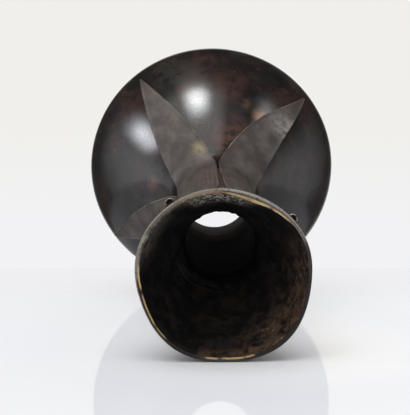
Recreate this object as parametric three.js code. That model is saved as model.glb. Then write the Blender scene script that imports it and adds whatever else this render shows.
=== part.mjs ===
// Bronze flower vase with a cup mouth, a narrow neck and four leaves laid over its shoulder.
// Millimetres, +Z up, origin at the centre of the foot plane.
import * as THREE from "three";

// Heights above the foot plane, and the mouth's depth down to the throat.
const HEIGHT = 230;
const SHOULDER_HEIGHT = 84;
const BELLY_HEIGHT = 22;
const FOOT_RING_HEIGHT = 4;
const MOUTH_DEPTH = 56;

// Outer radii.
const MOUTH_RADIUS = 43;
const BELLY_RADIUS = 71;
const FOOT_RADIUS = 56;

// The bore widens a little from the throat down to the belly.
const THROAT_BORE_RADIUS = 17.5;
const LOWER_BORE_RADIUS = 18.6;

// Walls.
const NECK_WALL = 2.4;
const BODY_WALL = 2.2;
const FOOT_WALL = 3.5;
const CUP_WALL = 1.2;
const LINING_WALL = 0.8;

// Fullness of the mouth: how far its curve runs on from the lip and from the throat before it turns.
const LIP_HANDLE = 26;
const LIP_FLARE = 2;
const THROAT_HANDLE = 12;

// Fullness of the shoulder, in the same way, and the hollow curve from the neck into it.
const SHOULDER_HANDLE_OUT = 13;
const SHOULDER_HANDLE_DOWN = 12;
const BELLY_HANDLE = 10;
const SHOULDER_FILLET = 8;

// Lap joints between cup, tube and collar.
const LAP_LENGTH = 6;
const JOINT_GAP = 0.3;

// The mouth has been pressed out of round. Each dent has so many lobes, a share of the radius and a turn.
const MOUTH_DENTS = [
  { lobes: 1, share: 0.0074, turn: 1.8 },
  { lobes: 2, share: 0.0184, turn: -1.16 },
  { lobes: 3, share: 0.0048, turn: -0.48 },
  { lobes: 4, share: 0.009, turn: 0.77 },
  { lobes: 5, share: 0.0106, turn: -0.215 },
];

// Leaves and their stalks, in degrees round the vase. The stalks are evenly spaced below the lip,
// and each leaf leans aside from there by one angle at the foot of the neck and another at its tip.
const FIRST_LEAF_ANGLE = 37.5;
const LEAF_LEANS = [
  { neck: -9.5, tip: -4 },
  { neck: -0.5, tip: -2.5 },
  { neck: 12, tip: 2 },
  { neck: -2, tip: -0.5 },
];
const LEAN_SHARE = 0.8;
const LEAF_GAP = 1.2;
const LEAF_THICKNESS = 1.2;
const LEAF_SPREAD_LENGTH = 34;
const LEAF_TIP_INSET = 3.5;
const STALK_THICKNESS = 0.4;
const STALK_HALF_WIDTH = 2.4;
const TIP_HALF_WIDTH = 0.4;
const STALK_TOP_DROP = 8;

// Loops at the stalk ends.
const LOOP_DROP = 11;
const LOOP_OUTER_WIDTH = 4.8;
const LOOP_WIRE = 0.8;
const LOOP_REACH = 1.9;
const LOOP_HEIGHT = 1.8;

// Fineness of the facets.
const TURN_SEGMENTS = 48;
const BELL_STEPS = 12;
const FILLET_STEPS = 4;
const SHOULDER_STEPS = 12;
const LOWER_STEPS = 6;
const LEAF_STEPS_ALONG = 36;
const LEAF_STEPS_ACROSS = 6;
const LOOP_CURVE_STEPS = 8;
const PATH_SEARCH_STEPS = 2000;

const THROAT_Z = HEIGHT - MOUTH_DEPTH;
const THROAT_OUTER_RADIUS = THROAT_BORE_RADIUS + NECK_WALL;
const LOWER_OUTER_RADIUS = LOWER_BORE_RADIUS + NECK_WALL;
const LAP_WALL = (NECK_WALL - JOINT_GAP) / 2;
const FILLET_CORNER = SHOULDER_HEIGHT + (SHOULDER_FILLET * SHOULDER_HANDLE_DOWN) / SHOULDER_HANDLE_OUT;
const FILLET_TOP = FILLET_CORNER + SHOULDER_FILLET;
const COLLAR_TOP = FILLET_TOP + LAP_LENGTH;

const point = (radius, z) => new THREE.Vector2(radius, z);

// Outer curves of the vase, from the lip down to the foot.
const bellCurve = new THREE.CubicBezierCurve(
  point(MOUTH_RADIUS, HEIGHT),
  point(MOUTH_RADIUS - LIP_FLARE, HEIGHT - LIP_HANDLE),
  point(THROAT_OUTER_RADIUS, THROAT_Z + THROAT_HANDLE),
  point(THROAT_OUTER_RADIUS, THROAT_Z)
);
const neckCurve = new THREE.LineCurve(
  point(THROAT_OUTER_RADIUS, THROAT_Z),
  point(LOWER_OUTER_RADIUS, COLLAR_TOP)
);
const collarCurve = new THREE.LineCurve(
  point(LOWER_OUTER_RADIUS, COLLAR_TOP),
  point(LOWER_OUTER_RADIUS, FILLET_TOP)
);
const shoulderStart = point(LOWER_OUTER_RADIUS + SHOULDER_FILLET, SHOULDER_HEIGHT);
const filletCurve = new THREE.QuadraticBezierCurve(
  point(LOWER_OUTER_RADIUS, FILLET_TOP),
  point(LOWER_OUTER_RADIUS, FILLET_CORNER),
  shoulderStart
);
const shoulderCurve = new THREE.CubicBezierCurve(
  shoulderStart,
  point(shoulderStart.x + SHOULDER_HANDLE_OUT, SHOULDER_HEIGHT - SHOULDER_HANDLE_DOWN),
  point(BELLY_RADIUS, BELLY_HEIGHT + BELLY_HANDLE),
  point(BELLY_RADIUS, BELLY_HEIGHT)
);
const lowerCurve = new THREE.EllipseCurve(
  FOOT_RADIUS, BELLY_HEIGHT,
  BELLY_RADIUS - FOOT_RADIUS, BELLY_HEIGHT - FOOT_RING_HEIGHT,
  0, -Math.PI / 2, true
);

// Points of a curve, moved square to it by a distance: a plus distance moves them off the vase's outside.
function offsetPoints(curve, steps, distance) {
  return Array.from({ length: steps + 1 }, (_, i) => {
    const place = curve.getPoint(i / steps);
    const along = curve.getTangent(i / steps);
    return point(place.x - along.y * distance, place.y + along.x * distance);
  });
}

// The mouth's pressed shape: grows from nothing at the throat to its full share at the lip.
function pressMouth(geometry) {
  const position = geometry.getAttribute("position");
  const vertex = new THREE.Vector3();
  for (let i = 0; i < position.count; i += 1) {
    vertex.fromBufferAttribute(position, i);
    const rise = THREE.MathUtils.smoothstep(vertex.z, THROAT_Z, HEIGHT);
    const angle = Math.atan2(vertex.y, vertex.x);
    const dent = MOUTH_DENTS.reduce(
      (sum, { lobes, share, turn }) => sum + share * Math.cos(lobes * (angle - turn)), 0
    );
    const scale = 1 + rise * dent;
    position.setXYZ(i, vertex.x * scale, vertex.y * scale, vertex.z);
  }
  return geometry;
}

// A closed outline of radius and height, turned about the upright axis.
function turned(outline) {
  const closed = [...outline, outline[0].clone()];
  return new THREE.LatheGeometry(closed, TURN_SEGMENTS).rotateX(Math.PI / 2);
}

const bronze = (color, roughness) =>
  new THREE.MeshStandardMaterial({ color, roughness, metalness: 0.85 });

const vase = new THREE.Group();

function addPiece(name, geometry, material) {
  const mesh = new THREE.Mesh(geometry, material);
  mesh.name = name;
  vase.add(mesh);
}

// The shell runs from the collar's top down to the foot ring and back up inside to the tube's seat.
function bodyOutline() {
  const outer = [
    point(LOWER_OUTER_RADIUS, COLLAR_TOP),
    ...offsetPoints(filletCurve, FILLET_STEPS, 0),
    ...offsetPoints(shoulderCurve, SHOULDER_STEPS, 0).slice(1),
    ...offsetPoints(lowerCurve, LOWER_STEPS, 0).slice(1),
    point(FOOT_RADIUS, 0),
  ];
  const footBore = FOOT_RADIUS - FOOT_WALL;
  const inner = [
    point(footBore, 0),
    point(footBore, FOOT_RING_HEIGHT + BODY_WALL),
    ...offsetPoints(lowerCurve, LOWER_STEPS, -BODY_WALL).reverse().slice(1),
    ...offsetPoints(shoulderCurve, SHOULDER_STEPS, -BODY_WALL).reverse().slice(1),
  ];
  const seatRadius = LOWER_BORE_RADIUS + LAP_WALL + JOINT_GAP;
  const collar = [
    point(LOWER_BORE_RADIUS, inner.at(-1).y),
    point(LOWER_BORE_RADIUS, FILLET_TOP),
    point(seatRadius, FILLET_TOP),
    point(seatRadius, COLLAR_TOP),
  ];
  return [...outer, ...inner, ...collar].reverse();
}

// A tube whose two ends are turned down to fit into the collar and the cup.
function neckOutline() {
  const low = FILLET_TOP + JOINT_GAP;
  const high = THROAT_Z + LAP_LENGTH - JOINT_GAP;
  return [
    point(LOWER_BORE_RADIUS, low),
    point(LOWER_BORE_RADIUS + LAP_WALL, low),
    point(LOWER_BORE_RADIUS + LAP_WALL, COLLAR_TOP + JOINT_GAP),
    point(LOWER_OUTER_RADIUS, COLLAR_TOP + JOINT_GAP),
    point(THROAT_OUTER_RADIUS, THROAT_Z - JOINT_GAP),
    point(THROAT_BORE_RADIUS + LAP_WALL, THROAT_Z - JOINT_GAP),
    point(THROAT_BORE_RADIUS + LAP_WALL, high),
    point(THROAT_BORE_RADIUS, high),
  ];
}

// The cup's skirt stands on the tube's upper step, round the tube's end.
function cupOutline() {
  const seatRadius = THROAT_BORE_RADIUS + LAP_WALL + JOINT_GAP;
  const seat = THROAT_Z + LAP_LENGTH;
  const outer = offsetPoints(bellCurve, BELL_STEPS, 0);
  const inner = offsetPoints(bellCurve, BELL_STEPS, -CUP_WALL)
    .filter((place) => place.x > seatRadius && place.y > seat);
  inner[0] = point(inner[0].x, HEIGHT);
  return [...inner, point(seatRadius, seat), point(seatRadius, THROAT_Z), ...outer.reverse()];
}

// The lining lies inside the cup from the lip to the top of the neck tube.
function liningOutline() {
  const bottom = THROAT_Z + LAP_LENGTH;
  const wall = (distance) => {
    const places = offsetPoints(bellCurve, BELL_STEPS, -distance).filter((place) => place.y > bottom);
    places[0] = point(places[0].x, HEIGHT);
    return places;
  };
  return [...wall(CUP_WALL + JOINT_GAP + LINING_WALL), ...wall(CUP_WALL + JOINT_GAP).reverse()];
}

addPiece("body_shell", turned(bodyOutline()), bronze(0x2f2624, 0.42));
addPiece("neck_tube", turned(neckOutline()), bronze(0x332b27, 0.5));
addPiece("mouth_cup", pressMouth(turned(cupOutline())), bronze(0x6f665b, 0.55));
addPiece("mouth_lining", pressMouth(turned(liningOutline())), bronze(0x3a2f29, 0.6));

// The path that a leaf follows: down the mouth and neck and out over the shoulder.
const vasePath = new THREE.CurvePath();
[bellCurve, neckCurve, collarCurve, filletCurve, shoulderCurve].forEach((curve) => vasePath.add(curve));

const evenAngle = (i) => FIRST_LEAF_ANGLE + (i * 360) / LEAF_LEANS.length;

// Share of the path's length at which its points first pass a test.
function pathShare(test) {
  const share = (step) => step / PATH_SEARCH_STEPS;
  let step = 0;
  while (step < PATH_SEARCH_STEPS && !test(vasePath.getPoint(share(step)))) step += 1;
  return share(step);
}

const pathLength = vasePath.getLength();
const stalkTop = pathShare((place) => place.y <= HEIGHT - STALK_TOP_DROP);
const leafBase = pathShare((place) => place.y <= THROAT_Z);
const leafBend = pathShare((place) => place.y <= FILLET_TOP);
const leafTip = pathShare((place) => place.y < SHOULDER_HEIGHT && place.x >= BELLY_RADIUS - LEAF_TIP_INSET);

// The leaves stand closest at the foot of the neck, where the nearest two leave a gap between them.
const neckAngles = LEAF_LEANS.map(({ neck }, i) => evenAngle(i) + neck);
const closest = Math.min(...neckAngles.map((angle, i) => (neckAngles[i + 1] ?? neckAngles[0] + 360) - angle));
const bladeHalfWidth = (THREE.MathUtils.degToRad(closest) * LOWER_OUTER_RADIUS - LEAF_GAP) / 2;

// How far a place has gone from stalk to blade on the way down the neck, and how much of the point is left.
const spreadAt = (share) =>
  THREE.MathUtils.smoothstep(((share - leafBase) * pathLength) / LEAF_SPREAD_LENGTH, 0, 1);
const leftAt = (share) => Math.max((leafTip - share) / (leafTip - leafBend), 0);

// Half width of the leaf: a narrow stalk, a blade that spreads round the neck, then a full, round point.
function leafHalfWidth(share) {
  if (share <= leafBend) return THREE.MathUtils.lerp(STALK_HALF_WIDTH, bladeHalfWidth, spreadAt(share));
  return THREE.MathUtils.lerp(TIP_HALF_WIDTH, bladeHalfWidth, Math.sin((leftAt(share) * Math.PI) / 2));
}

// The leaf's lean, in degrees, grows down the neck and changes again toward the tip.
function leafLean({ neck, tip }, share) {
  if (share <= leafBend) return neck * THREE.MathUtils.smoothstep(share, leafBase, leafBend);
  return THREE.MathUtils.lerp(tip, neck, THREE.MathUtils.smoothstep(leftAt(share), 0, LEAN_SHARE));
}

// A flat plate bent onto the outside of the vase.
function leafGeometry(i) {
  const plate = new THREE.BoxGeometry(2, 1, 1, LEAF_STEPS_ACROSS, LEAF_STEPS_ALONG, 1);
  const position = plate.getAttribute("position");
  for (let v = 0; v < position.count; v += 1) {
    const share = THREE.MathUtils.lerp(leafTip, stalkTop, position.getY(v) + 0.5);
    const thickness = THREE.MathUtils.lerp(STALK_THICKNESS, LEAF_THICKNESS, spreadAt(share));
    const lift = JOINT_GAP + (position.getZ(v) + 0.5) * thickness;
    const place = vasePath.getPoint(share);
    const along = vasePath.getTangent(share);
    const middle = THREE.MathUtils.degToRad(evenAngle(i) + leafLean(LEAF_LEANS[i], share));
    const turn = middle + (position.getX(v) * leafHalfWidth(share)) / place.x;
    const radius = place.x - along.y * lift;
    position.setXYZ(v, radius * Math.cos(turn), radius * Math.sin(turn), place.y + along.x * lift);
  }
  return pressMouth(plate);
}

// An arch of flat wire that stands on the stalk, with its hole looking along the vase.
function loopGeometry(i) {
  const outer = LOOP_OUTER_WIDTH / 2;
  const arch = new THREE.Shape();
  arch.absellipse(0, 0, LOOP_REACH, outer, -Math.PI / 2, Math.PI / 2, false, 0);
  arch.absellipse(0, 0, LOOP_REACH - LOOP_WIRE, outer - LOOP_WIRE, Math.PI / 2, -Math.PI / 2, true, 0);
  const share = pathShare((place) => place.y <= HEIGHT - LOOP_DROP);
  const seat = vasePath.getPoint(share);
  const along = vasePath.getTangent(share);
  const lift = 2 * JOINT_GAP + STALK_THICKNESS;
  const lean = Math.atan2(along.x, -along.y);
  const loop = new THREE.ExtrudeGeometry(arch, {
    depth: LOOP_HEIGHT,
    curveSegments: LOOP_CURVE_STEPS,
    bevelEnabled: false,
  });
  loop.translate(lift, 0, -LOOP_HEIGHT / 2).rotateY(-lean).translate(seat.x, 0, seat.y);
  return pressMouth(loop.rotateZ(THREE.MathUtils.degToRad(evenAngle(i))));
}

for (let i = 0; i < LEAF_LEANS.length; i += 1) {
  addPiece(`leaf_${i + 1}`, leafGeometry(i), bronze(0x575048, 0.6));
  addPiece(`stalk_loop_${i + 1}`, loopGeometry(i), bronze(0x6a5f50, 0.5));
}

export default vase;
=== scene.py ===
import math

import bmesh
import bpy
from mathutils import Matrix, Vector, geometry, noise


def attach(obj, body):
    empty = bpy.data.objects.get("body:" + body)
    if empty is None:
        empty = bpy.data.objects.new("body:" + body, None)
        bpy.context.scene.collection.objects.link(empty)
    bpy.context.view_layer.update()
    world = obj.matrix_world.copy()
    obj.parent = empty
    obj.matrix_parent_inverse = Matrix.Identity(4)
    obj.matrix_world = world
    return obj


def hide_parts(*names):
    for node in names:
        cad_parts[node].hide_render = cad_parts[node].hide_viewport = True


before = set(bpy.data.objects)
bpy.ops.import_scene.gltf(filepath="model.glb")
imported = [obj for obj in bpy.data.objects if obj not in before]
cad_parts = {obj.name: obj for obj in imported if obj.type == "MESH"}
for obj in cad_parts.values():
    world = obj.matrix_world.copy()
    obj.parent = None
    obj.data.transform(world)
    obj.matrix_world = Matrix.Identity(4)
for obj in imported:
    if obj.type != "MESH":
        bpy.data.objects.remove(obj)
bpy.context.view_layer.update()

MM = 0.001
FULL_TURN = 2 * math.pi

# The vase's measures in millimetres, as its solids have them.
HEIGHT = 230
SHOULDER_HEIGHT = 84
BELLY_HEIGHT = 22
FOOT_RING_HEIGHT = 4
THROAT_HEIGHT = 174
MOUTH_RADIUS = 43
BELLY_RADIUS = 71
FOOT_RADIUS = 56
THROAT_BORE_RADIUS = 17.5
LOWER_BORE_RADIUS = 18.6
NECK_WALL = 2.4
BODY_WALL = 2.2
FOOT_WALL = 3.5
CUP_WALL = 1.2
LINING_WALL = 0.8
LIP_HANDLE = 26
LIP_FLARE = 2
THROAT_HANDLE = 12
SHOULDER_HANDLE_OUT = 13
SHOULDER_HANDLE_DOWN = 12
BELLY_HANDLE = 10
SHOULDER_FILLET = 8
LAP_LENGTH = 6
JOINT_GAP = 0.3
THROAT_OUTER = THROAT_BORE_RADIUS + NECK_WALL
LOWER_OUTER = LOWER_BORE_RADIUS + NECK_WALL
LAP_WALL = (NECK_WALL - JOINT_GAP) / 2
FILLET_CORNER = SHOULDER_HEIGHT + SHOULDER_FILLET * SHOULDER_HANDLE_DOWN / SHOULDER_HANDLE_OUT
FILLET_TOP = FILLET_CORNER + SHOULDER_FILLET
FILLET_MIDDLE = 92
COLLAR_TOP = FILLET_TOP + LAP_LENGTH
LINING_BOTTOM = THROAT_HEIGHT + LAP_LENGTH

# The bell's lip is bent inwards over the lining's edge.
LIP_WIDTH = 2.05
LIP_DEPTH = 0.95

# Each dent of the mouth: lobes, share of the radius, turn.
MOUTH_DENTS = (
    (1, 0.0074, 1.8), (2, 0.0184, -1.16), (3, 0.0048, -0.48), (4, 0.009, 0.77), (5, 0.0106, -0.215),
)

# Leaves, with each one's lean in degrees at the foot of the neck and at its tip, and their stalks.
FIRST_LEAF_ANGLE = 37.5
LEAF_LEANS = ((-9.5, -4), (-0.5, -2.5), (12, 2), (-2, -0.5))
LEAF_COUNT = len(LEAF_LEANS)
LEAN_SHARE = 0.8
LEAF_GAP = 1.2
LEAF_THICKNESS = 1.2
LEAF_SPREAD_LENGTH = 34
LEAF_TIP_INSET = 3.5
STALK_THICKNESS = 0.4
STALK_HALF_WIDTH = 2.4
TIP_HALF_WIDTH = 0.4
STALK_TOP_DROP = 8

# The wire loops on the stalks.
LOOP_DROP = 11
LOOP_OUTER_WIDTH = 4.8
LOOP_WIRE = 0.8
LOOP_REACH = 1.9
LOOP_HEIGHT = 1.8

# Fineness of the turned shapes.
TURN_STEPS = 160
MOUTH_TURN_STEPS = 216
BELL_STEPS = 72
NECK_STEPS = 40
LAP_STEPS = 4
FILLET_STEPS = 12
SHOULDER_STEPS = 56
LOWER_STEPS = 20
PIPE_STEPS = 16
BORE_ROWS = 150
SHARP_CORNER = math.radians(35)


# Outlines: points of radius and height in the XZ plane.

def at(radius, height):
    return Vector((radius, 0, height))


def swept(start, start_handle, end_handle, end, steps):
    return geometry.interpolate_bezier(start, start_handle, end_handle, end, steps + 1)


def beside(line, distance):
    """The line moved square to itself: a plus distance moves it off the vase's outside."""
    moved = []
    for i, place in enumerate(line):
        along = (line[min(i + 1, len(line) - 1)] - line[max(i - 1, 0)]).normalized()
        moved.append(place + Vector((-along.z, 0, along.x)) * distance)
    return moved


neck_top = at(THROAT_OUTER, THROAT_HEIGHT)
neck_foot = at(LOWER_OUTER, COLLAR_TOP)
bell_line = swept(
    at(MOUTH_RADIUS, HEIGHT), at(MOUTH_RADIUS - LIP_FLARE, HEIGHT - LIP_HANDLE),
    at(THROAT_OUTER, THROAT_HEIGHT + THROAT_HANDLE), neck_top, BELL_STEPS)
neck_line = [neck_top.lerp(neck_foot, step / NECK_STEPS) for step in range(NECK_STEPS + 1)]
neck_line += [
    at(LOWER_OUTER, COLLAR_TOP - LAP_LENGTH * step / LAP_STEPS) for step in range(1, LAP_STEPS + 1)
]
shoulder_start = at(LOWER_OUTER + SHOULDER_FILLET, SHOULDER_HEIGHT)
fillet_corner = at(LOWER_OUTER, FILLET_CORNER)
fillet_line = swept(
    neck_line[-1], neck_line[-1].lerp(fillet_corner, 2 / 3),
    shoulder_start.lerp(fillet_corner, 2 / 3), shoulder_start, FILLET_STEPS)
shoulder_line = swept(
    shoulder_start, shoulder_start + Vector((SHOULDER_HANDLE_OUT, 0, -SHOULDER_HANDLE_DOWN)),
    at(BELLY_RADIUS, BELLY_HEIGHT + BELLY_HANDLE), at(BELLY_RADIUS, BELLY_HEIGHT), SHOULDER_STEPS)
lower_line = [
    at(FOOT_RADIUS + (BELLY_RADIUS - FOOT_RADIUS) * math.cos(turn),
       BELLY_HEIGHT - (BELLY_HEIGHT - FOOT_RING_HEIGHT) * math.sin(turn))
    for turn in [math.pi / 2 * step / LOWER_STEPS for step in range(LOWER_STEPS + 1)]
]


# Shaping and finishing of the pieces.

def turned(outline, steps):
    """A closed outline spun once round the vase's axis."""
    shape = bmesh.new()
    corners = [shape.verts.new(place) for place in outline]
    sides = [shape.edges.new(pair) for pair in zip(corners, corners[1:] + corners[:1])]
    bmesh.ops.spin(shape, geom=corners + sides, cent=(0, 0, 0), axis=(0, 0, 1),
                   angle=FULL_TURN, steps=steps, use_merge=True)
    bmesh.ops.remove_doubles(shape, verts=shape.verts, dist=0.001)
    bmesh.ops.recalc_face_normals(shape, faces=shape.faces)
    return shape


def soften(shape, width, segments=3):
    """Rounds every corner that is sharp."""
    sharp = [
        edge for edge in shape.edges if edge.is_manifold and edge.calc_face_angle() > SHARP_CORNER
    ]
    bmesh.ops.bevel(shape, geom=sharp, offset=width, segments=segments, profile=0.5,
                    affect="EDGES", material=-1, clamp_overlap=True)
    shape.normal_update()


def keep_profile(shape):
    """Keeps each point's radius and height in the round mouth, for its finish."""
    profile = shape.loops.layers.uv.new("profile")
    for face in shape.faces:
        for corner in face.loops:
            place = corner.vert.co
            corner[profile].uv = (place.xy.length * MM, place.z * MM)


def smooth_step(value, low, high):
    share = min(max((value - low) / (high - low), 0), 1)
    return share * share * (3 - 2 * share)


def press_mouth(place):
    """Where a point of the round mouth lies once the mouth is pressed out of round."""
    rise = smooth_step(place.z, THROAT_HEIGHT, HEIGHT)
    angle = math.atan2(place.y, place.x)
    dent = sum(share * math.cos(lobes * (angle - turn)) for lobes, share, turn in MOUTH_DENTS)
    scale = 1 + rise * dent
    return Vector((place.x * scale, place.y * scale, place.z))


def roughen(shape, size, depth, seed=0.0, where=lambda place: 1.0):
    """Sinks the surface unevenly, never outwards: hollows of about that size and depth."""
    shape.normal_update()
    start = Vector((seed, seed, seed))
    for vertex in shape.verts:
        hollow = 0.5 + 0.5 * noise.noise(vertex.co / size + start)
        vertex.co -= vertex.normal * (hollow * depth * where(vertex.co))


def in_place(shape, name, finishes, node):
    """Makes the shape a piece that stands for a solid, in metres, and rides on the vase."""
    for face in shape.faces:
        face.smooth = True
    bmesh.ops.scale(shape, vec=(MM, MM, MM), verts=shape.verts)
    mesh = bpy.data.meshes.new(name)
    shape.to_mesh(mesh)
    shape.free()
    piece = bpy.data.objects.new(name, mesh)
    bpy.context.scene.collection.objects.link(piece)
    for finish in finishes:
        mesh.materials.append(finish)
    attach(piece, "root")
    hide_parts(node)


# Finishes.

def paint(red, green, blue):
    """A colour as it looks on paper, as light values."""
    def light(part):
        part /= 255
        return part / 12.92 if part <= 0.04045 else ((part + 0.055) / 1.055) ** 2.4
    return light(red), light(green), light(blue), 1.0


class Field:
    """A value that varies over a surface. Sums and products of fields add Math nodes."""

    def __init__(self, finish, socket):
        self.finish = finish
        self.socket = socket

    def __add__(self, other):
        return self.finish.math("ADD", self, other)

    def __radd__(self, other):
        return self.finish.math("ADD", other, self)

    def __sub__(self, other):
        return self.finish.math("SUBTRACT", self, other)

    def __rsub__(self, other):
        return self.finish.math("SUBTRACT", other, self)

    def __mul__(self, other):
        return self.finish.math("MULTIPLY", self, other)

    def __rmul__(self, other):
        return self.finish.math("MULTIPLY", other, self)

    def between(self, low, high):
        """0 at low and 1 at high, with a soft start and end."""
        return self.finish.node(
            "ShaderNodeMapRange", {"interpolation_type": "SMOOTHSTEP"},
            {"Value": self, "From Min": low, "From Max": high})

    def past(self, low, high):
        """The same, with the two ends in millimetres."""
        return self.between(low * MM, high * MM)


class Finish:
    """A material under construction."""

    def __init__(self, owner):
        owner.use_nodes = True
        self.owner = owner
        self.tree = owner.node_tree
        self.tree.nodes.clear()

    def node(self, kind, settings=None, sockets=None, out=0):
        made = self.tree.nodes.new(kind)
        for name, value in (settings or {}).items():
            setattr(made, name, value)
        for name, value in (sockets or {}).items():
            if isinstance(value, Field):
                self.tree.links.new(value.socket, made.inputs[name])
            else:
                made.inputs[name].default_value = value
        return Field(self, made.outputs[out])

    def math(self, operation, *values):
        return self.node("ShaderNodeMath", {"operation": operation}, dict(enumerate(values)))

    def coordinates(self, source="Object"):
        return self.node("ShaderNodeTexCoord", out=source)

    def ray(self, kind):
        """1 for rays of a kind: Camera, Diffuse, Glossy or Transmission."""
        return self.node("ShaderNodeLightPath", out=f"Is {kind} Ray")

    def parts(self, vector):
        """The X, Y and Z of a vector."""
        first = self.node("ShaderNodeSeparateXYZ", sockets={0: vector})
        return [Field(self, socket) for socket in first.socket.node.outputs]

    def mix(self, first, second, share):
        """Two colours mixed. The node's sockets for colours have these numbers."""
        sockets = {0: share, 6: first, 7: second}
        return self.node("ShaderNodeMix", {"data_type": "RGBA"}, sockets, out=2)

    def larger(self, first, second):
        return self.math("MAXIMUM", first, second)

    def dot(self, vector, direction):
        return self.node("ShaderNodeVectorMath", {"operation": "DOT_PRODUCT"},
                         {0: vector, 1: direction}, out="Value")

    def grain(self, vector, size, detail=4.0, rough=0.55, seed=0.0, stretch=(1, 1, 1), swirl=0.0):
        """Cloudy noise about 0.5, with features of a size in millimetres."""
        placed = self.node("ShaderNodeMapping", {}, {
            "Vector": vector, "Location": (seed, seed * 0.7, seed * 1.3), "Scale": stretch})
        return self.node("ShaderNodeTexNoise", {}, {
            "Vector": placed, "Scale": 1 / (size * MM), "Detail": detail,
            "Roughness": rough, "Distortion": swirl})

    def specks(self, vector, size, seed=0.0):
        """Distance to the nearest of many scattered points, in shares of their spacing."""
        placed = self.node("ShaderNodeMapping", {}, {
            "Vector": vector, "Location": (seed, seed * 1.7, seed * 0.4)})
        return self.node("ShaderNodeTexVoronoi", {}, {"Vector": placed, "Scale": 1 / (size * MM)})

    def bump(self, height, depth, below=None):
        """A surface normal from a height, with its depth in millimetres."""
        sockets = {"Strength": 1.0, "Distance": depth * MM, "Height": height}
        if below is not None:
            sockets["Normal"] = below
        return self.node("ShaderNodeBump", {}, sockets)

    def surface(self, shader, kind="ShaderNodeOutputMaterial"):
        output = self.tree.nodes.new(kind)
        self.tree.links.new(shader.socket, output.inputs["Surface"])
        return self.owner

    def metal(self, colour, roughness, metallic, normal, shine=0.5, wax=0.0, wax_rough=0.15):
        shader = self.node("ShaderNodeBsdfPrincipled", {}, {
            "Base Color": colour, "Roughness": roughness, "Metallic": metallic, "Normal": normal,
            "Specular IOR Level": shine, "Coat Weight": wax, "Coat Roughness": wax_rough})
        return self.surface(shader)


def new_finish(name):
    return Finish(bpy.data.materials.new(name))


def arc(finish, angle, start, end, fade=2.5):
    """1 between two angles in degrees about the vase's axis, fading at its ends."""
    middle, half = math.radians((start + end) / 2), (end - start) / 2
    nearness = finish.math("COSINE", angle - middle)
    outer, inner = math.radians(half + fade), math.radians(max(half - fade, 0))
    return nearness.between(math.cos(outer), math.cos(inner))


def spot(finish, place, centre, radius, fade):
    """1 within a radius of a point in millimetres, fading over a length."""
    away = finish.node("ShaderNodeVectorMath", {"operation": "DISTANCE"},
                       {0: place, 1: tuple(part * MM for part in centre)}, out="Value")
    return 1 - away.between((radius - fade) * MM, (radius + fade) * MM)


DEEP_BROWN = paint(19, 15, 14)
BROWN = paint(32, 24, 21)
RED_BROWN = paint(56, 34, 28)
OCHRE = paint(92, 64, 44)
GREY_BLOOM = paint(44, 44, 42)
BARE_BRONZE = paint(214, 186, 134)


def brown_patina(finish, place, seed):
    """The dark brown skin that covers the vase: its colour, its roughness and its fine relief."""
    broad = finish.grain(place, 30, seed=seed, detail=3, swirl=0.6)
    clouds = finish.grain(place, 12, seed=seed + 0.31, detail=5, rough=0.62, swirl=0.4)
    mottle = finish.grain(place, 4.2, seed=seed + 0.77, detail=4, rough=0.6)
    fine = finish.grain(place, 0.9, seed=seed + 1.2, detail=3)
    bloom = finish.grain(place, 22, seed=seed + 2.9, detail=4)
    reddish = broad * 0.35 + clouds * 0.4 + mottle * 0.25
    colour = finish.mix(DEEP_BROWN, BROWN, (broad * 0.45 + clouds * 0.55).between(0.38, 0.58))
    colour = finish.mix(colour, RED_BROWN, reddish.between(0.48, 0.64) * 0.8)
    colour = finish.mix(colour, GREY_BLOOM, bloom.between(0.5, 0.68) * 0.6)
    colour = finish.mix(colour, OCHRE, (broad * 0.3 + mottle * 0.7).between(0.6, 0.74) * 0.4)
    rough = 0.32 + clouds * 0.16 + mottle * 0.12
    relief = finish.bump(mottle * 0.5 + fine * 0.5, 0.05)
    return colour, rough, relief, mottle, fine


# Marks on the shoulder: stains, a near-black patch, and a reddish stain that is also a painted
# highlight: place, radius, colour and strength.
SHOULDER_MARKS_AND_HIGHLIGHT = (
    ((-27, -40, 63), 6, (128, 88, 62), 0.85),
    ((-18, -48, 60), 4, (98, 66, 46), 0.7),
    # A reddish stain, painted lighter too where the highlight's tail and the fillet's reflection
    # fall.
    ((-11, -31, 81), 16, (86, 52, 42), 0.65),
    ((-9, -55, 53), 11, (72, 45, 37), 0.6),
    ((-39, -55, 35), 12, (14, 13, 13), 0.9),
    ((25, -60, 38), 14, (46, 47, 43), 0.6),
    ((57, -16, 47), 2.5, (96, 76, 46), 0.7),
    ((36, -6, 79), 6, (92, 70, 66), 0.6),
)


def belly_finish():
    finish = new_finish("waxed brown bronze")
    place = finish.coordinates()
    colour, rough, relief, mottle, fine = brown_patina(finish, place, 0.0)
    ragged = finish.grain(place, 6, detail=5, rough=0.65, seed=5.5)
    # Stains, and one painted highlight, laid on the shoulder.
    for centre, radius, tone, strength in SHOULDER_MARKS_AND_HIGHLIGHT:
        near = spot(finish, place, centre, radius * 0.75, radius * 0.5)
        colour = finish.mix(colour, paint(*tone), near * ragged.between(0.36, 0.56) * strength)
    height = finish.parts(place)[2]
    uneven = mottle * 0.6 + fine * 0.4
    foot_wear = (1 - height.past(0.4, 2.2)) * uneven.between(0.4, 0.56)
    colour = finish.mix(colour, BARE_BRONZE, foot_wear * 0.8)
    wax = (0.5 + fine * 0.8) * (1 - height.past(SHOULDER_HEIGHT, FILLET_MIDDLE) * 0.8)
    return finish.metal(colour, rough + 0.15, 0.02 + foot_wear * 0.8, relief,
                        shine=0.05, wax=wax, wax_rough=0.14)


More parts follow.
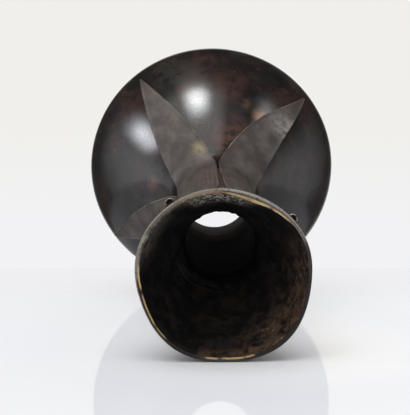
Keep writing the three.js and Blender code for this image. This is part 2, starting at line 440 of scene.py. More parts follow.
def raw_casting_finish():
    """The unpolished skin inside the belly and behind the foot, with painted light in the collar.
    """
    finish = new_finish("raw casting skin")
    place = finish.coordinates()
    lumps = finish.grain(place, 5, detail=6, rough=0.65)
    sand = finish.grain(place, 0.8, detail=3)
    colour = finish.mix(paint(26, 23, 21), paint(64, 54, 44), lumps.between(0.42, 0.66))
    green = finish.grain(place, 9, seed=3.1).between(0.6, 0.74)
    colour = finish.mix(colour, paint(78, 92, 80), green * 0.5)
    # Painted light: the collar's bore is painted paler, where light through the open foot falls.
    painted_light_in_collar = finish.parts(place)[2].past(76, 88)
    colour = finish.mix(colour, paint(120, 112, 104), painted_light_in_collar * (0.4 + lumps))
    return finish.metal(colour, 0.62 + sand * 0.25, 0.2, finish.bump(lumps * 0.6 + sand * 0.4, 0.3))


def neck_finish():
    finish = new_finish("neck bronze")
    place = finish.coordinates()
    colour, rough, relief, mottle, fine = brown_patina(finish, place, 4.0)
    # Painted paler: its own brown, and also painted light that lifts the shade in the gaps between
    # the leaves.
    colour = finish.mix(colour, paint(78, 64, 54), 0.3 + mottle * 0.5)
    return finish.metal(colour, rough + 0.08, 0.1, relief, shine=0.3, wax=0.2, wax_rough=0.3)


def bore_finish():
    """The neck's turned bore, dark with lines of grey dirt along its ridges, painted light at its
    lower end and paler at its top.
    """
    finish = new_finish("sooty turned bore")
    place = finish.coordinates()
    height = finish.parts(place)[2]
    dirt = finish.grain(place, 6, detail=5, rough=0.6, stretch=(1, 1, 2.2))
    sand = finish.grain(place, 0.7)
    colour = finish.mix(paint(4, 4, 4), paint(17, 16, 16), dirt.between(0.5, 0.72))
    # Painted light: the bore is painted pale towards its lower end, where light through the open
    # foot falls.
    low = 1 - height.past(96, 118)
    colour = finish.mix(colour, paint(104, 97, 90), low * (0.4 + dirt))
    # Paler towards the top, to match the lining and also as painted light that lifts the shade
    # where the bore flares.
    colour = finish.mix(colour, paint(23, 21, 20), height.past(158, 176))
    return finish.metal(colour, 0.8, 0.0, finish.bump(dirt * 0.5 + sand * 0.5, 0.15), shine=0.02)


# Colours of the lip's band and of its outer corner, where the corner's pale lines are wear and also
# a
# painted highlight along the edge: start, end and fade in degrees about the axis, and the colour.
LIP_BAND = (
    (296, 333, 8, (108, 101, 94)),
    (268, 297, 8, (140, 132, 114)),
    (332, 341, 3, (150, 155, 140)),
    (341, 362, 5, (136, 127, 122)),
    (3, 50, 5, (54, 45, 40)),
    (50, 76, 5, (50, 46, 46)),
    (76, 104, 5, (72, 70, 64)),
    (181, 205, 6, (62, 58, 56)),
    (205, 223, 5, (112, 110, 104)),
    (222, 269, 6, (150, 142, 134)),
)
LIP_CORNER_WEAR_AND_HIGHLIGHT = (
    (296, 333, 8, (146, 138, 124)),
    (-8, 52, 5, (158, 143, 127)),
    (205, 270, 6, (162, 155, 147)),
    (104, 181, 8, (66, 60, 58)),
)
LIP_DARK = paint(42, 39, 41)

# Stretches where the lip's inner corner has worn through to bare metal, and how bare each is.
LIP_WEAR = (
    (-7, 8, 1.0), (14, 36, 0.8), (39, 47, 0.5), (79, 85, 0.9), (90, 103, 1.0), (106, 109, 0.8),
    (223, 234, 1.0), (239, 251, 1.0), (254, 268, 0.55),
)


def bell_finish():
    """Brown, with a lip that changes colour round the mouth, is rubbed bare in places and has a
    painted highlight.
    """
    finish = new_finish("mouth bell bronze")
    place = finish.coordinates()
    colour, rough, relief, mottle, fine = brown_patina(finish, place, 7.0)
    across, aside, height = finish.parts(place)
    angle = finish.math("ARCTAN2", aside, across)
    radius, level = finish.parts(finish.coordinates("UV"))[:2]
    uneven = mottle * 0.5 + fine * 0.5
    lip = level.past(227.4, 229.0)
    band = LIP_DARK
    for start, end, fade, tone in LIP_BAND:
        band = finish.mix(band, paint(*tone), arc(finish, angle, start, end, fade))
    # The outer corner: rubbed colours, and a painted highlight along the edge.
    outer = radius.past(42.25, 42.6)
    for start, end, fade, tone in LIP_CORNER_WEAR_AND_HIGHLIGHT:
        band = finish.mix(band, paint(*tone), arc(finish, angle, start, end, fade) * outer)
    band = finish.mix(band, paint(52, 43, 37), uneven.between(0.5, 0.64) * 0.7)
    colour = finish.mix(colour, band, lip * (0.75 + mottle * 0.4))
    inner = 1 - radius.past(41.45, 41.75)
    stained = arc(finish, angle, 222, 300, 8) * inner * uneven.between(0.38, 0.52)
    colour = finish.mix(colour, paint(128, 90, 50), stained * lip * 0.85)
    seam = radius.past(41.55, 41.8) * (1 - radius.past(42, 42.3)) * lip
    seam = seam * (arc(finish, angle, 8, 74, 6) + arc(finish, angle, 222, 272, 5))
    colour = finish.mix(colour, paint(30, 26, 24), seam * 0.75)
    sooty = arc(finish, angle, 288, 345, 10) * inner * uneven.between(0.42, 0.52)
    colour = finish.mix(colour, paint(44, 37, 32), sooty * lip * 0.85)
    bare = sum(arc(finish, angle, start, end) * share for start, end, share in LIP_WEAR)
    bare = bare * inner * lip * uneven.between(0.36, 0.46)
    colour = finish.mix(colour, BARE_BRONZE, bare)
    rough = rough + lip * 0.12 - bare * 0.1
    return finish.metal(colour, rough, 0.2 + bare * 0.35, relief, shine=0.4)


def liner_finish():
    """Near-black inside with a brown crust low on one side and pale crumbs."""
    finish = new_finish("crusted mouth lining")
    place = finish.coordinates()
    across, aside, height = finish.parts(place)
    angle = finish.math("ARCTAN2", aside, across)
    lumps = finish.grain(place, 7, detail=6, rough=0.66, swirl=0.5)
    grit = finish.grain(place, 1.6, detail=4, rough=0.6, seed=2.2)
    mixed = lumps * 0.5 + grit * 0.5
    colour = finish.mix(paint(13, 12, 12), paint(32, 28, 26), lumps.between(0.42, 0.64))
    crusted = (arc(finish, angle, 112, 196, 20) * height.past(200, 220)
               + arc(finish, angle, 80, 112, 16) * height.past(220, 228))
    crust = crusted * (lumps * 0.7 + grit * 0.3).between(0.36, 0.54)
    clots = lumps * 0.4 + finish.grain(place, 3, detail=3, seed=8.0) * 0.6
    crust_tone = finish.mix(paint(45, 33, 26), paint(80, 62, 48), clots.between(0.36, 0.64))
    colour = finish.mix(colour, crust_tone, crust)
    border = arc(finish, angle, 245, 350, 14) * height.past(200, 220) * mixed.between(0.42, 0.54)
    colour = finish.mix(colour, paint(96, 86, 76), border)
    crumbs = arc(finish, angle, 246, 296, 8) * height.past(192, 204) * grit.between(0.46, 0.56)
    colour = finish.mix(colour, paint(176, 170, 160), crumbs)
    ridge = finish.grain(place, 1.2, stretch=(0.12, 0.12, 1), detail=2, seed=7.0)
    near_throat = 1 - height.past(183, 196)
    ridged = ridge.between(0.55, 0.66) * near_throat * arc(finish, angle, 330, 450, 30)
    colour = finish.mix(colour, paint(60, 58, 56), ridged * 0.8)
    fleck = (1 - finish.specks(place, 3.2).between(0.15, 0.32)) * grit.between(0.46, 0.58)
    flecked = (arc(finish, angle, 240, 318, 10) * height.past(208, 218)
               + arc(finish, angle, 120, 202, 14) * height.past(206, 220) * 0.8)
    colour = finish.mix(colour, paint(126, 120, 106), fleck * flecked)
    return finish.metal(colour, 0.66 + grit * 0.25, 0.0, finish.bump(mixed, 0.25), shine=0.3)


# A stain and a painted sheen on the leaves: place, radius and colour.
LEAF_STAIN_AND_SHEEN = (
    ((9, -28, 86), 5, (136, 122, 90)),
    # A painted sheen, where a leaf catches the light.
    ((-40, -32, 57), 11, (142, 138, 134)),
)


def leaf_finish():
    """Paler and duller than the belly, with fine drawn lines near the neck, rubbed borders and
    painted light and shade.
    """
    finish = new_finish("leaf bronze")
    place = finish.coordinates()
    flow = finish.node("ShaderNodeUVMap", {"uv_map": "flow"})
    along = finish.parts(flow)[1]
    inset, tip_way = finish.parts(finish.node("ShaderNodeUVMap", {"uv_map": "border"}))[:2]
    clouds = finish.grain(place, 10, seed=9.0, detail=5, rough=0.62)
    mottle = finish.grain(place, 3, seed=5.0, detail=4, rough=0.6)
    fine = finish.grain(place, 0.8, seed=6.0)
    colour = finish.mix(paint(61, 54, 51), paint(81, 75, 71), clouds.between(0.38, 0.62))
    colour = finish.mix(colour, paint(78, 55, 47), mottle.between(0.52, 0.68) * 0.5)
    olive = (clouds * 0.6 + mottle * 0.4).between(0.58, 0.68)
    colour = finish.mix(colour, paint(106, 94, 74), olive * 0.6)
    # A stain, and a painted sheen, on the leaves.
    for centre, radius, tone in LEAF_STAIN_AND_SHEEN:
        near = spot(finish, place, centre, radius * 0.7, radius * 0.7) * mottle.between(0.36, 0.56)
        colour = finish.mix(colour, paint(*tone), near * 0.75)
    streak = finish.grain(flow, 1.1, stretch=(1, 0.04, 1), detail=2)
    at_neck = along.past(60, 80) * (1 - along.past(96, 150))
    # Painted light: the blades are painted paler down the neck, where they face the light less.
    colour = finish.mix(colour, paint(84, 75, 69), at_neck * 0.4)
    dark_lines = streak.between(0.52, 0.64)
    pale_lines = 1 - streak.between(0.34, 0.44)
    colour = finish.mix(colour, paint(60, 48, 42), dark_lines * at_neck * 0.6)
    colour = finish.mix(colour, paint(116, 100, 90), pale_lines * at_neck * 0.4)
    near_tip = (1 - tip_way.past(6, 24)) * (clouds * 0.5 + mottle * 0.5).between(0.36, 0.54)
    colour = finish.mix(colour, paint(56, 42, 38), near_tip * 0.6)
    uneven = clouds * 0.5 + mottle * 0.25 + fine * 0.25
    # The borders are rubbed paler and also carry a painted highlight along their raised edge.
    rubbed = (1 - inset.past(0.3, 0.8)) * uneven.between(0.46, 0.6)
    colour = finish.mix(colour, paint(126, 108, 95), rubbed * 0.6)
    # Painted shade: the stalk's top, under the wire loops, is painted dark where their shade falls.
    painted_loop_shade = 1 - along.past(14, 20)
    colour = finish.mix(colour, paint(36, 31, 28), painted_loop_shade * 0.8)
    relief = finish.bump(mottle * 0.5 + fine * 0.5, 0.06)
    relief = finish.bump(streak * at_neck, 0.05, relief)
    return finish.metal(colour, 0.38 + mottle * 0.2, 0.12, relief, shine=0.45)


def loop_finish():
    finish = new_finish("rubbed wire bronze")
    place = finish.coordinates()
    mottle = finish.grain(place, 1.5, detail=4)
    colour = finish.mix(paint(108, 99, 89), paint(160, 150, 136), mottle.between(0.38, 0.6))
    return finish.metal(colour, 0.42 + mottle * 0.2, 0.15, finish.bump(mottle, 0.05))


# The plug's finish: dark, as painted shade in the loop's eye.
def painted_shade_plug_finish():
    finish = new_finish("packed dirt")
    sand = finish.grain(finish.coordinates(), 0.8)
    colour = finish.mix(paint(24, 21, 19), paint(40, 35, 31), sand.between(0.4, 0.6))
    return finish.metal(colour, 0.85, 0.0, finish.bump(sand, 0.1), shine=0.1)


# The belly: one casting with a collar above, a shoulder, and an open foot ring below.

def belly_casting():
    wall = beside(shoulder_line + lower_line[1:], -BODY_WALL)
    foot_bore = FOOT_RADIUS - FOOT_WALL
    inside = [place for place in reversed(wall) if place.x > LOWER_BORE_RADIUS + 1]
    seat = LOWER_BORE_RADIUS + LAP_WALL + JOINT_GAP
    outline = [
        at(LOWER_OUTER, COLLAR_TOP), *fillet_line, *shoulder_line[1:], *lower_line[1:],
        at(FOOT_RADIUS, 0), at(foot_bore, 0), at(foot_bore, FOOT_RING_HEIGHT + BODY_WALL),
        *inside[1:], at(LOWER_BORE_RADIUS, inside[-1].z),
        at(LOWER_BORE_RADIUS, FILLET_TOP), at(seat, FILLET_TOP), at(seat, COLLAR_TOP),
    ]
    shape = turned(outline, TURN_STEPS)
    soften(shape, width=0.35)
    roughen(shape, size=26, depth=0.16, seed=2.0)
    roughen(shape, size=9, depth=0.05, seed=5.0)
    for face in shape.faces:
        middle = face.calc_center_median()
        faces_in = face.normal.dot(Vector((middle.x, middle.y, 0)).normalized()) < -0.05
        faces_down = face.normal.z < -0.2 and middle.xy.length < foot_bore
        under = faces_down and 0.6 < middle.z < FILLET_TOP
        face.material_index = 1 if (faces_in or under) and middle.z < COLLAR_TOP else 0
    finishes = [belly_finish(), raw_casting_finish()]
    in_place(shape, "belly_casting", finishes, "body_shell")


belly_casting()


# The neck pipe: plain outside, with turned ridges in a bore that widens to meet the lining.

RIDGE_SPACING = 2.2
RIDGE_DEPTH = 0.22
BORE_FLARE_LENGTH = 9


def lining_wall(depth):
    """A side of the mouth's lining, at a depth inside the bell's outside."""
    return [place for place in beside(bell_line, -depth) if place.z > LINING_BOTTOM]


lining_outside = lining_wall(CUP_WALL + JOINT_GAP)
lining_inside = lining_wall(CUP_WALL + JOINT_GAP + LINING_WALL)


def neck_pipe():
    low = FILLET_TOP + JOINT_GAP
    high = LINING_BOTTOM - JOINT_GAP
    bore = []
    for row in range(BORE_ROWS + 1):
        height = high + (low - high) * row / BORE_ROWS
        widening = (LOWER_BORE_RADIUS - THROAT_BORE_RADIUS) * row / BORE_ROWS
        ridge = RIDGE_DEPTH * max(noise.noise(Vector((0, 0, height / RIDGE_SPACING))), 0)
        flare = smooth_step(height, high - BORE_FLARE_LENGTH, high)
        flared = (lining_inside[-1].x - THROAT_BORE_RADIUS) * flare
        bore.append(at(THROAT_BORE_RADIUS + widening + (ridge * (1 - flare) + flared), height))
    outline = [
        at(LOWER_BORE_RADIUS + LAP_WALL, low),
        at(LOWER_BORE_RADIUS + LAP_WALL, COLLAR_TOP + JOINT_GAP),
        at(LOWER_OUTER, COLLAR_TOP + JOINT_GAP),
        *(at(LOWER_OUTER + (THROAT_OUTER - LOWER_OUTER) * step / PIPE_STEPS,
             COLLAR_TOP + JOINT_GAP
             + (THROAT_HEIGHT - COLLAR_TOP - 2 * JOINT_GAP) * step / PIPE_STEPS)
          for step in range(1, PIPE_STEPS + 1)),
        at(THROAT_BORE_RADIUS + LAP_WALL, THROAT_HEIGHT - JOINT_GAP),
        at(THROAT_BORE_RADIUS + LAP_WALL, high),
        *bore,
    ]
    shape = turned(outline, TURN_STEPS)
    soften(shape, width=0.15, segments=2)
    roughen(shape, size=5, depth=0.16, seed=8.0)
    for face in shape.faces:
        middle = face.calc_center_median()
        if middle.xy.length < LOWER_BORE_RADIUS + 0.6:
            face.material_index = 1
    in_place(shape, "neck_pipe", [neck_finish(), bore_finish()], "neck_tube")


neck_pipe()


# The mouth: an outer bell with a bent lip and the lining inside it, both pressed out of round.

# Where the lip's inner corner is broken away: angle and half width in degrees, and depth.
LIP_CHIPS = (
    (-10, 3, 0.5), (10, 2, 0.35), (58, 5, 0.5), (70, 3, 0.4), (90, 2, 0.4), (236, 2, 0.35),
    (318, 9, 0.3),
)

# Where the lip is bent further in: angle and half width in degrees, and extra width.
LIP_BENDS = ((316, 30, 1.2), (284, 22, 0.7), (251, 24, 1.4), (228, 14, 0.6))


def angle_away(place, middle):
    """Degrees about the axis between a point and an angle."""
    return abs((math.degrees(math.atan2(place.y, place.x)) - middle + 180) % 360 - 180)


def lip_bend(place):
    """How much further in than elsewhere the lip reaches at a point."""
    bend = sum(extra * (1 - smooth_step(angle_away(place, middle), half * 0.2, half))
               for middle, half, extra in LIP_BENDS)
    ragged = noise.noise(place.normalized() * 9) + 0.6 * noise.noise(place.normalized() * 24)
    return bend * (1 + 0.4 * ragged) + 0.6 * max(ragged, 0)


def lip_wear(place):
    """How far the lip's inner corner is worn down at a point."""
    angle = math.atan2(place.y, place.x)
    turn = Vector((math.cos(angle), math.sin(angle), 0))
    broad, fine = noise.noise(turn * 9 + Vector((4, 0, 0))), noise.noise(turn * 30)
    wear = 0.3 * max(broad, 0) + 0.3 * max(fine, 0)
    for middle, half, depth in LIP_CHIPS:
        wear += depth * (1 - smooth_step(angle_away(place, middle), half * 0.4, half))
    return wear


def mouth_bell():
    seat_radius = THROAT_BORE_RADIUS + LAP_WALL + JOINT_GAP
    seat = [at(seat_radius, THROAT_HEIGHT), at(seat_radius, LINING_BOTTOM)]
    inner = [
        place for place in beside(bell_line, -CUP_WALL)
        if place.x > seat_radius and place.z > LINING_BOTTOM
    ]
    under_lip = HEIGHT - LIP_DEPTH
    lip_radius = MOUTH_RADIUS - LIP_WIDTH
    inner = [
        at(lip_radius, HEIGHT), at(lip_radius, under_lip), at(inner[0].x, under_lip),
        *(place for place in inner if place.z < under_lip - 0.3),
    ]
    shape = turned([*bell_line, *seat, *reversed(inner)], MOUTH_TURN_STEPS)
    soften(shape, width=0.4)
    keep_profile(shape)
    for vertex in shape.verts:
        inward = 1 - smooth_step(vertex.co.xy.length, lip_radius, lip_radius + 0.9)
        inward *= smooth_step(vertex.co.z, under_lip - 0.6, under_lip - 0.2)
        bend = lip_bend(vertex.co) * inward
        vertex.co.z -= lip_wear(vertex.co) * inward + 0.3 * bend
        vertex.co.xy -= vertex.co.xy.normalized() * bend
        vertex.co = press_mouth(vertex.co)
    roughen(shape, size=14, depth=0.16, seed=1.0)
    roughen(shape, size=2.5, depth=0.1, seed=3.0,
            where=lambda place: smooth_step(place.z, 224, 229))
    in_place(shape, "mouth_bell", [bell_finish()], "mouth_cup")


mouth_bell()


# Thickness of the crust that hangs from the top of the throat while the vase lies on its side, and
# the angle of that top.
THROAT_CRUST = 1.25
THROAT_CRUST_ANGLE = 270


def mouth_liner():
    outside, inside = (
        [at(wall[0].x, HEIGHT), *wall[1:]] for wall in (lining_outside, lining_inside))
    shape = turned([*outside, *reversed(inside)], MOUTH_TURN_STEPS)
    soften(shape, width=0.25, segments=2)
    for vertex in shape.verts:
        vertex.co.z -= (LIP_DEPTH + 0.15) * smooth_step(vertex.co.z, 224, 229.6)
        vertex.co = press_mouth(vertex.co)
    shape.normal_update()
    for vertex in shape.verts:
        inward = -vertex.normal.dot(Vector((vertex.co.x, vertex.co.y, 0)).normalized())
        lump = noise.fractal(vertex.co / 6, 1.0, 2.0, 3)
        grit = noise.noise(vertex.co / 1.7)
        high = smooth_step(vertex.co.z, LINING_BOTTOM, 190)
        crust = max(inward, 0) * high * (0.35 * max(lump, 0) + 0.12 * max(grit, 0))
        vertex.co += vertex.normal * crust
        if inward > 0.3:
            low = 1 - smooth_step(vertex.co.z, LINING_BOTTOM + 3, LINING_BOTTOM + 14)
            above = 1 - smooth_step(angle_away(vertex.co, THROAT_CRUST_ANGLE), 25, 80)
            ragged = 0.8 + 0.5 * noise.noise(vertex.co / 3)
            vertex.co.xy -= vertex.co.xy.normalized() * THROAT_CRUST * low * above * ragged
    in_place(shape, "mouth_liner", [liner_finish()], "mouth_lining")


mouth_liner()


# The leaves: flat blades bent down the neck and out over the shoulder.

vase_line = [*bell_line, *neck_line[1:], *fillet_line[1:], *shoulder_line[1:]]
line_reach = [0.0]
for before, after in zip(vase_line, vase_line[1:]):
    line_reach.append(line_reach[-1] + (after - before).length)


def reach_where(test):
    """Length along the vase's outside at which it first passes a test."""
    return next(reach for place, reach in zip(vase_line, line_reach) if test(place))


def along_vase(reach):
    """Place and direction at a length along the vase's outside."""
    last = len(line_reach) - 1
    i = next((n for n in range(1, last) if line_reach[n] >= reach), last)
    start, end = vase_line[i - 1], vase_line[i]
    share = (reach - line_reach[i - 1]) / (line_reach[i] - line_reach[i - 1])
    before = (start - vase_line[max(i - 2, 0)]).normalized()
    here = (end - start).normalized()
    after = (vase_line[min(i + 1, last)] - end).normalized()
    way = (before + here).lerp(here + after, share) if before.length and after.length else here
    return start.lerp(end, share), way.normalized()


stalk_top = reach_where(lambda place: place.z <= HEIGHT - STALK_TOP_DROP)
leaf_base = reach_where(lambda place: place.z <= THROAT_HEIGHT + 0.01)
leaf_bend = reach_where(lambda place: place.z <= FILLET_TOP + 0.01)
tip_radius = BELLY_RADIUS - LEAF_TIP_INSET
leaf_tip = reach_where(lambda place: place.z < SHOULDER_HEIGHT and place.x >= tip_radius)

# The nearest two leaves leave a gap between them at the foot of the neck.
neck_angles = [360 / LEAF_COUNT * i + lean[0] for i, lean in enumerate(LEAF_LEANS)]
next_angles = [*neck_angles[1:], neck_angles[0] + 360]
closest = min(after - before for before, after in zip(neck_angles, next_angles))
blade_half_width = (math.radians(closest) * LOWER_OUTER - LEAF_GAP) / 2

# Distances of the blade's columns from its border, and the blade's height at each.
BORDER_RELIEF = (
    (0, 1.02), (0.3, 1.24), (0.6, 1.32), (0.95, 1.22), (1.35, 1.04), (2.0, 0.94), (3.2, 0.9),
)
MIDDLE_COLUMNS = 6
LEAF_ROWS = 150
LEAF_SINK = 0.2
LEAF_TOP = JOINT_GAP + LEAF_THICKNESS


def spread_at(reach):
    """How far a place has gone from stalk to blade on the way down the neck."""
    return smooth_step(reach - leaf_base, 0, LEAF_SPREAD_LENGTH)


def left_at(reach):
    """How much of the point is left."""
    return max((leaf_tip - reach) / (leaf_tip - leaf_bend), 0)


def leaf_half_width(reach):
    if reach <= leaf_bend:
        return STALK_HALF_WIDTH + (blade_half_width - STALK_HALF_WIDTH) * spread_at(reach)
    fullness = math.sin(left_at(reach) * math.pi / 2)
    return TIP_HALF_WIDTH + (blade_half_width - TIP_HALF_WIDTH) * fullness


def leaf_angle(number, reach):
    neck, tip = LEAF_LEANS[number - 1]
    lean = neck * smooth_step(reach, leaf_base, leaf_bend)
    if reach > leaf_bend:
        lean = tip + (neck - tip) * smooth_step(left_at(reach), 0, LEAN_SHARE)
    return math.radians(FIRST_LEAF_ANGLE + (number - 1) * 360 / LEAF_COUNT + lean)


def leaf_column(column, columns, half):
    """Across place and top height of a column of the blade, where the blade has a half width."""
    side = -1 if column * 2 < columns else 1
    step = min(column, columns - column)
    border = BORDER_RELIEF[min(step, len(BORDER_RELIEF) - 1)]
    squeeze = min(1, half / (BORDER_RELIEF[-1][0] * 1.25))
    inset = border[0] * squeeze
    past = step - (len(BORDER_RELIEF) - 1)
    if past > 0:
        rest = columns / 2 - (len(BORDER_RELIEF) - 1)
        inset += (half - inset) * past / rest
    return side * (half - inset), border[1]


def leaf_blade(number):
    columns = 2 * (len(BORDER_RELIEF) - 1) + MIDDLE_COLUMNS
    shape = bmesh.new()
    flow = shape.loops.layers.uv.new("flow")
    border = shape.loops.layers.uv.new("border")
    bmesh.ops.create_grid(shape, x_segments=columns, y_segments=LEAF_ROWS, size=1)
    under = set(shape.verts)
    bmesh.ops.extrude_face_region(shape, geom=shape.faces[:], use_keep_orig=True)
    flat = {}
    for vertex in shape.verts:
        column = round((vertex.co.x + 1) / 2 * columns)
        reach = stalk_top + (leaf_tip - stalk_top) * (vertex.co.y + 1) / 2
        half = leaf_half_width(reach)
        across, top = leaf_column(column, columns, half)
        thickness = STALK_THICKNESS + (LEAF_THICKNESS - STALK_THICKNESS) * spread_at(reach)
        top -= 0.1 * noise.noise(Vector((across / 4, reach / 5, number)))
        top = min(top, LEAF_TOP) * (JOINT_GAP + thickness) / LEAF_TOP
        place, way = along_vase(reach)
        lift = -LEAF_SINK if vertex in under else top
        radius = place.x - way.z * lift
        turn = leaf_angle(number, reach) + across / place.x
        to_edges = (half - abs(across)) * MM, (leaf_tip - reach) * MM
        flat[vertex] = (across * MM, reach * MM), to_edges
        bent = Vector((radius * math.cos(turn), radius * math.sin(turn), place.z + way.x * lift))
        vertex.co = press_mouth(bent)
    for face in shape.faces:
        for corner in face.loops:
            corner[flow].uv, corner[border].uv = flat[corner.vert]
    bmesh.ops.recalc_face_normals(shape, faces=shape.faces)
    soften(shape, width=0.16, segments=2)
    in_place(shape, f"leaf_blade_{number}", [leaf_metal], f"leaf_{number}")


# The dark plug that closes the far end of each loop's eye, painted shade where the eye is in
# shadow: its thickness, its distance from the end and the share of its width that is left at its
# top.
PLUG_DEPTH = 0.5
PLUG_INSET = 0.35
PLUG_TAPER = 0.55
LOOP_SIDES = 14
LOOP_STEPS = 18


def wire_loop(number):
    """An arch of oval wire that stands on the stalk, its eye closed at the far end by a dark plug
    of painted shade.
    """
    bow = (LOOP_OUTER_WIDTH - LOOP_WIRE) / 2
    rise = LOOP_REACH - LOOP_WIRE / 2
    shape = bmesh.new()
    section = bmesh.ops.create_circle(shape, segments=LOOP_SIDES, radius=0.5)["verts"]
    bmesh.ops.scale(shape, vec=(LOOP_WIRE, LOOP_HEIGHT, 1), verts=section)
    bmesh.ops.rotate(shape, verts=section, matrix=Matrix.Rotation(math.pi / 2, 3, "X"))
    bmesh.ops.rotate(shape, verts=section, matrix=Matrix.Rotation(math.pi / 2, 3, "Z"))
    bmesh.ops.translate(shape, verts=section, vec=(0, -bow, 0))
    ring = shape.edges[:]
    arch = bmesh.ops.spin(shape, geom=section + ring, cent=(0, 0, 0), axis=(0, 0, 1),
                          angle=math.pi, steps=LOOP_STEPS)
    for vertex in shape.verts:
        vertex.co.x -= (bow - rise) * vertex.co.xy.normalized().x
    far_ring = [part for part in arch["geom_last"] if isinstance(part, bmesh.types.BMEdge)]
    for end in (ring, far_ring):
        leg = bmesh.ops.extrude_edge_only(shape, edges=end)["geom"]
        bmesh.ops.translate(shape, vec=(-2 * JOINT_GAP, 0, 0),
                            verts=[part for part in leg if isinstance(part, bmesh.types.BMVert)])
    bmesh.ops.holes_fill(shape, edges=[edge for edge in shape.edges if edge.is_boundary], sides=0)
    # The dark plug: painted shade in the far end of the eye.
    dirt = bmesh.ops.create_cube(shape, size=1)["verts"]
    bmesh.ops.scale(shape, vec=(rise + 2 * JOINT_GAP, 2 * bow, PLUG_DEPTH), verts=dirt)
    plug_height = (PLUG_DEPTH - LOOP_HEIGHT) / 2 + PLUG_INSET
    bmesh.ops.translate(shape, vec=(rise / 2 - JOINT_GAP, 0, plug_height), verts=dirt)
    for vertex in dirt:
        vertex.co.y *= 1 if vertex.co.x < rise / 2 else PLUG_TAPER
    for face in {face for vertex in dirt for face in vertex.link_faces}:
        face.material_index = 1
    bmesh.ops.recalc_face_normals(shape, faces=shape.faces)
    seat, way = along_vase(reach_where(lambda place: place.z <= HEIGHT - LOOP_DROP))
    lean = math.atan2(way.x, -way.z)
    lift = (2 * JOINT_GAP + STALK_THICKNESS, 0, 0)
    stand = (Matrix.Rotation(leaf_angle(number, stalk_top), 4, "Z") @ Matrix.Translation(seat)
             @ Matrix.Rotation(-lean, 4, "Y") @ Matrix.Translation(lift))
    bmesh.ops.transform(shape, matrix=stand, verts=shape.verts)
    for vertex in shape.verts:
        vertex.co = press_mouth(vertex.co)
    roughen(shape, size=1.6, depth=0.1, seed=number)
    finishes = [loop_metal, painted_shade_plug]
    in_place(shape, f"wire_loop_{number}", finishes, f"stalk_loop_{number}")


leaf_metal = leaf_finish()
loop_metal = loop_finish()
painted_shade_plug = painted_shade_plug_finish()
for number in range(1, LEAF_COUNT + 1):
    leaf_blade(number)
    wire_loop(number)


# The room: millimetres, x to the right, y away from the camera, z up from the table under the lens.
CAMERA_HEIGHT = 187.15
CAMERA_PITCH = 0.13991
FOCAL_LENGTH = 147.56
SENSOR = 36
MOUTH_IN_ROOM = Vector((9.02, 790.70, 42.75))
VASE_YAW = -0.025125
VASE_TILT = 0.13405

vase_axis = Vector((
    math.sin(VASE_YAW) * math.cos(VASE_TILT), math.cos(VASE_YAW) * math.cos(VASE_TILT),
    math.sin(VASE_TILT)))
vase_right = vase_axis.cross(Vector((0, 0, 1))).normalized()
vase_up = vase_right.cross(vase_axis)
room_turn = Matrix((-vase_right, -vase_up, -vase_axis))
foot_in_room = MOUTH_IN_ROOM + vase_axis * HEIGHT


def from_room(place):
    """A point of the room in the vase's own frame, in metres."""
    return room_turn @ (Vector(place) - foot_in_room) * MM


ROOM_UP = room_turn @ Vector((0, 0, 1))
ROOM_RIGHT = room_turn @ Vector((1, 0, 0))
ROOM_AWAY = room_turn @ Vector((0, 1, 0))

camera = bpy.data.objects.new("camera", bpy.data.cameras.new("camera"))
bpy.context.scene.collection.objects.link(camera)
camera.data.lens = FOCAL_LENGTH
camera.data.sensor_width = SENSOR
camera.data.clip_start = 0.05
camera.data.clip_end = 20
look = room_turn @ Matrix.Rotation(math.pi / 2 - CAMERA_PITCH, 3, "X")
camera.matrix_world = Matrix.Translation(from_room((0, 0, CAMERA_HEIGHT))) @ look.to_4x4()
bpy.context.scene.camera = camera


# The table top: glossy white, painted darker on the left and towards the front as shade, with a
# paler stretch behind the mouth and a patch of painted light under it that lifts the mouth's
# shadow. Seen in gloss it is painted darker, as shade. It fades into the backdrop and is seen
# through from below.
TABLE_NEAR = -800
TABLE_BACK = 1046
TABLE_BACK_FADE = 12
TABLE_REACH = 2500
HAZE_START = 830
HAZE = 0.9
PALE_FRONT = 796.5
# A patch of painted light under the mouth that lifts its shadow: middle, radius and fade.
PAINTED_LIGHT_MIDDLE = (30, 835, 0)
PAINTED_LIGHT_RADIUS = 62
PAINTED_LIGHT_FADE = 55
TABLE_GLOSS = 0.17


